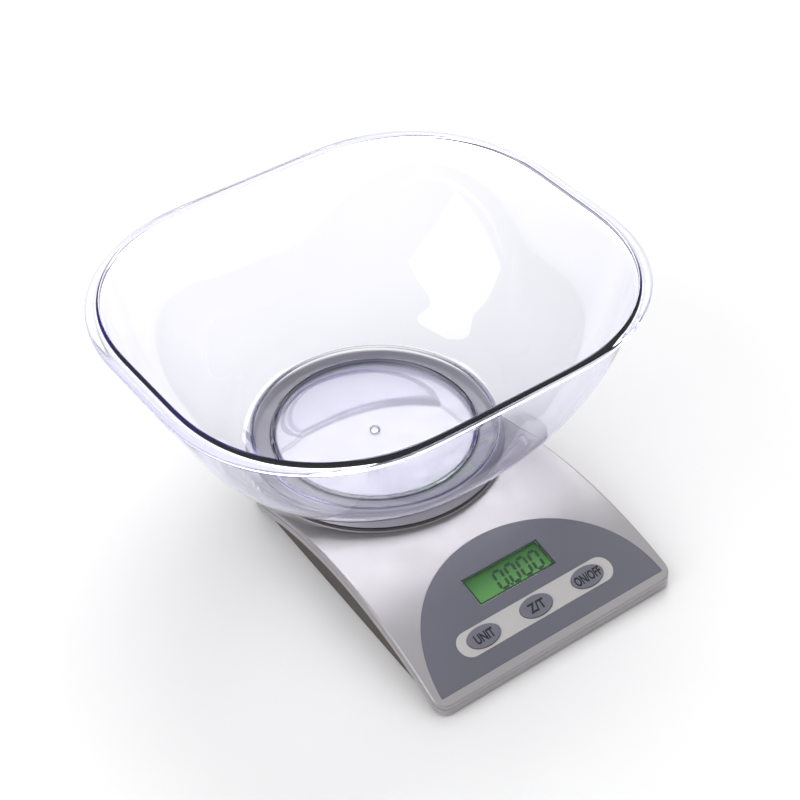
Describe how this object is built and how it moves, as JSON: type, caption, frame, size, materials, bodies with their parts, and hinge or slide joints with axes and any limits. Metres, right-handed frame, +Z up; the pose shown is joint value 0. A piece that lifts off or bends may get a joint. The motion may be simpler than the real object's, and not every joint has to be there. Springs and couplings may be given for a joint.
{
  "type": "kitchen scale",
  "caption": "Digital kitchen scale with an arched silver base, a round weighing platform, display and keys at the front, and a clear lift-off bowl.",
  "frame": {"origin": "on the table, under the middle of the object's bounding box", "axes": "+Z up; -Y to the front, where the display is; +X to the right as seen by the user"},
  "size_m": [0.2733, 0.2743, 0.1367],
  "materials": {
    "silver_plastic": "satin silver paint on plastic",
    "panel_film": "smooth dark blue-grey film",
    "strip_plastic": "satin, pale warm grey",
    "key_plastic": "satin blue-grey with dark printed words",
    "switch_plastic": "moulded black",
    "window": "clear polished",
    "dark_plastic": "moulded dark brown-grey",
    "lcd": "smooth green display",
    "backlight": "milky light block",
    "connector_rubber": "striped silicone",
    "board": "green solder mask",
    "screw_steel": "bright zinc plated steel",
    "foot_rubber": "moulded",
    "battery_case": "smooth printed steel",
    "lead_cover": "smooth insulation",
    "cell_aluminium": "machined",
    "sealant": "white sealant",
    "clear_plastic": "clear polished plastic with a faint lavender tint"
  },
  "bodies": {
    "base": {"top_cover": "silver_plastic", "panel_overlay": "panel_film", "button_strip": "strip_plastic", "switch_bodies": "switch_plastic", "lcd_window": "window", "lcd_bezel": "dark_plastic", "lcd_glass": "lcd", "lcd_backlight": "backlight", "lcd_connector": "connector_rubber", "circuit_board": "board", "controller_chip": "dark_plastic", "board_screws": "screw_steel", "lower_housing": "dark_plastic", "housing_screws": "screw_steel", "rubber_feet": "foot_rubber", "battery": "battery_case", "battery_snap": "dark_plastic", "battery_leads": "lead_cover", "load_cell": "cell_aluminium", "gauge_coating": "sealant", "load_cell_screws": "screw_steel", "load_cell_leads": "lead_cover", "overload_screw": "screw_steel"},
    "unit_key": {"unit_button": "key_plastic", "unit_plunger": "switch_plastic"},
    "zero_key": {"zero_button": "key_plastic", "zero_plunger": "switch_plastic"},
    "power_key": {"power_button": "key_plastic", "power_plunger": "switch_plastic"},
    "battery_cover": {"battery_door": "dark_plastic"},
    "weighing_platform": {"platform": "silver_plastic", "platform_carrier": "dark_plastic", "carrier_screws": "screw_steel", "carrier_grommets": "foot_rubber"},
    "bowl": {"bowl": "clear_plastic"}
  },
  "joints": [
    {"name": "platform_travel", "type": "slide", "parent": "base", "child": "weighing_platform", "axis": [0, 0, 1], "range_m": [-0.0005, 0], "stiffness_N_per_m": 60000, "deforming": ["load_cell"]},
    {"name": "bowl_lift", "type": "slide", "parent": "weighing_platform", "child": "bowl", "axis": [0, 0, 1], "range_m": [0, 0.15]},
    {"name": "unit_press", "type": "slide", "parent": "base", "child": "unit_key", "axis": [0, 0.2194, -0.9756], "range_m": [0, 0.0005], "stiffness_N_per_m": 600},
    {"name": "zero_press", "type": "slide", "parent": "base", "child": "zero_key", "axis": [0, 0.2194, -0.9756], "range_m": [0, 0.0005], "stiffness_N_per_m": 600},
    {"name": "power_press", "type": "slide", "parent": "base", "child": "power_key", "axis": [0, 0.2194, -0.9756], "range_m": [0, 0.0005], "stiffness_N_per_m": 600},
    {"name": "battery_door_hinge", "type": "hinge", "parent": "base", "child": "battery_cover", "pos_m": [0.033, -0.00695, 0.0014], "axis": [-1, 0, 0], "range_deg": [0, 80]}
  ]
}
